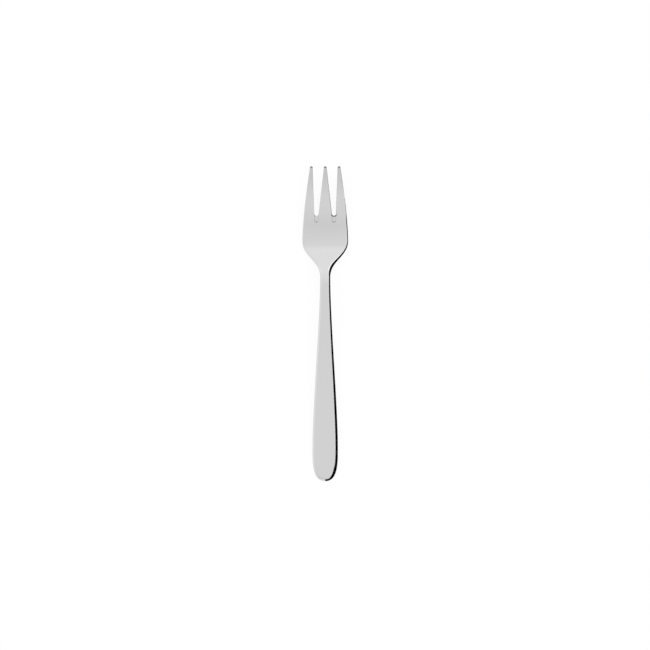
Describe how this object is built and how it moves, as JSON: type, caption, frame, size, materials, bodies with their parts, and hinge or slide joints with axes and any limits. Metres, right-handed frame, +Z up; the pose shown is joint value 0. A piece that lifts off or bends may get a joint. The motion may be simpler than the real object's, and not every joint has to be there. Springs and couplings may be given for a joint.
{
  "type": "pastry fork",
  "caption": "Small one-piece pastry fork of polished steel with slim tapering tines, a squared shallow bowl, a narrow neck and a handle that widens to a rounded end.",
  "frame": {"origin": "the table plane under the fork, at the middle of its length and width", "axes": "+Y along the fork from the end of the handle to the tips of the tines, +Z up out of the bowl, X across"},
  "size_m": [0.0226, 0.155, 0.0083],
  "materials": {
    "polished_steel": "polished"
  },
  "bodies": {
    "root": {"fork": "polished_steel"}
  },
  "joints": []
}
